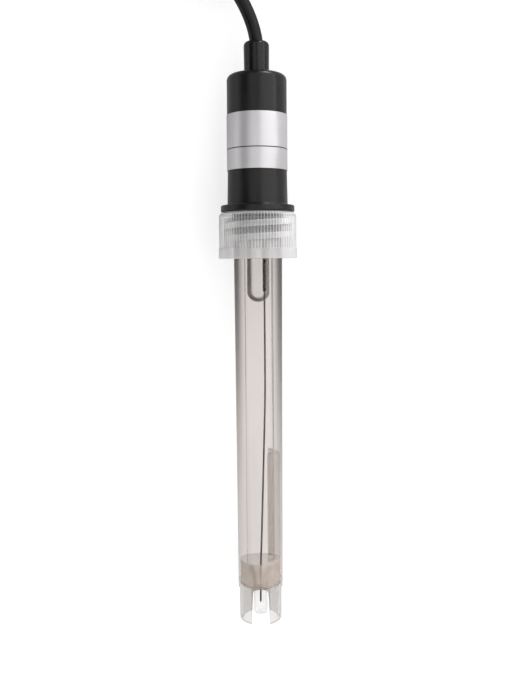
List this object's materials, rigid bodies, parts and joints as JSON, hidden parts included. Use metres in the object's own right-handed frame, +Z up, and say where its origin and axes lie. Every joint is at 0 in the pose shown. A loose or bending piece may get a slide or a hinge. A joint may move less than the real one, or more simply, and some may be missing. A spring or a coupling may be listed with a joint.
{
  "type": "ph electrode",
  "caption": "Combination pH electrode: clear slotted tube round a glass bulb, black cap with foil label, ribbed bottle cap, cable and bayonet plug.",
  "frame": {"origin": "bottom centre of the electrode's box, without its cable, hank and plug", "axes": "+Y along the electrode from its tip to its cable, +Z up from the bench it lies on, +X to the side of the wick"},
  "size_m": [0.0289, 0.2679, 0.0193],
  "materials": {
    "cap": "satin black moulding",
    "foil": "satin foil label, blank but for one ruled line",
    "rubber": "black, slightly glossy",
    "clear": "clear moulding",
    "glass": "clear polished",
    "solution": "clear solution",
    "gel": "clear, faintly beige gel",
    "silver": "drawn silver wire",
    "chloride": "black coating",
    "brown": "porous, matt brown",
    "milky": "translucent milky moulding",
    "ring": "dark, soft",
    "jacket": "smooth black jacket",
    "core": "natural",
    "braid": "tinned copper braid",
    "solder": "solder",
    "tie": "black band",
    "nickel": "nickel plated",
    "spring": "spring steel",
    "gasket": "red silicone",
    "ptfe": "white insulator",
    "gold": "gold plated"
  },
  "bodies": {
    "electrode": {"cap_shell": "cap", "label_band": "foil", "strain_relief": "rubber", "cable_jacket_end": "jacket", "core_wire": "core", "core_joint": "solder", "braid_pigtail": "braid", "reference_joint": "solder", "body_tube": "clear", "glass_stem": "glass", "glass_bulb": "glass", "inner_solution": "solution", "sensing_wire": "silver", "chloride_tip": "chloride", "wire_sleeve": "rubber", "reference_wire": "silver", "stem_seal": "rubber", "reference_gel": "gel", "reference_wick": "brown", "junction_plug": "brown", "cable_lead": "jacket", "cable_hank": "jacket", "cable_tail": "jacket", "hank_tie": "tie", "plug_boot": "rubber", "crimp_ferrule": "nickel", "cable_plug_end": "jacket", "plug_body": "nickel", "plug_insulator": "ptfe", "centre_pin": "gold", "plug_gasket": "gasket", "spring_washer": "spring"},
    "seal_slider": {"sealing_ring": "ring"},
    "screw_cap": {"bottle_cap": "milky"},
    "washer_slider": {"thrust_washer": "nickel"},
    "lock_sleeve": {"bayonet_sleeve": "nickel"}
  },
  "joints": [
    {"name": "seal_travel", "type": "slide", "parent": "electrode", "child": "seal_slider", "axis": [0, -1, 0], "range_m": [0, 0.083]},
    {"name": "bottle_cap_spin", "type": "hinge", "parent": "seal_slider", "child": "screw_cap", "pos_m": [0, 0.02656, 0.00967], "axis": [0, 1, 0], "continuous": true},
    {"name": "sleeve_travel", "type": "slide", "parent": "electrode", "child": "washer_slider", "axis": [0, 1, 0], "range_m": [0, 0.0008], "stiffness_N_per_m": 2000, "springref_m": -0.0005},
    {"name": "sleeve_spin", "type": "hinge", "parent": "washer_slider", "child": "lock_sleeve", "pos_m": [-0.00415, 0.18313, 0.00717], "axis": [0, 1, 0], "continuous": true}
  ]
}
